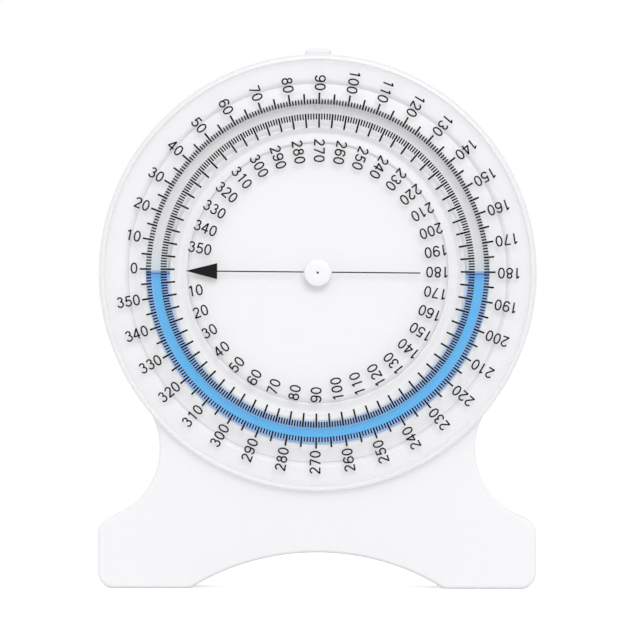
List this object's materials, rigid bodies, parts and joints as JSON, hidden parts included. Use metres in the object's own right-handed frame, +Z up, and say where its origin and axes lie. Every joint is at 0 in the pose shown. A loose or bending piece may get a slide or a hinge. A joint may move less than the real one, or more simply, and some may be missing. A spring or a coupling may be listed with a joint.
{
  "type": "inclinometer",
  "caption": "Range of motion inclinometer: a white two-footed stand with a limb arch and a clear round dial that turns over a ring of blue liquid.",
  "frame": {"origin": "on the surface it stands on, under the centre of its overall box", "axes": "+Z up, the dial faces -Y, +X to the right as seen by someone reading the dial"},
  "size_m": [0.1026, 0.0218, 0.1264],
  "materials": {
    "white_plastic": "satin",
    "clear_plastic": "clear, polished",
    "blue_liquid": "clear blue liquid",
    "black_ink": "screen print",
    "white_nylon": "satin",
    "spring_steel": "bright"
  },
  "bodies": {
    "base": {"stand": "white_plastic", "hub_rivet": "white_nylon", "rivet_pin": "white_nylon", "thrust_washer": "white_nylon", "wave_washer": "spring_steel", "retaining_washer": "spring_steel"},
    "dial": {"dial_face": "clear_plastic", "channel_ring": "white_plastic", "fill_plug": "white_nylon", "dial_bush": "white_nylon", "outer_degree_marks": "black_ink", "outer_numerals": "black_ink", "inner_degree_marks": "black_ink", "inner_numerals": "black_ink", "pointer_arrow": "black_ink"},
    "liquid": {"blue_liquid": "blue_liquid"}
  },
  "joints": [
    {"name": "dial_turn", "type": "hinge", "parent": "base", "child": "dial", "pos_m": [0, -0.00865, 0.0738], "axis": [0, 1, 0], "continuous": true},
    {"name": "liquid_level", "type": "hinge", "parent": "base", "child": "liquid", "pos_m": [0, -0.00525, 0.0738], "axis": [0, 1, 0], "continuous": true}
  ]
}
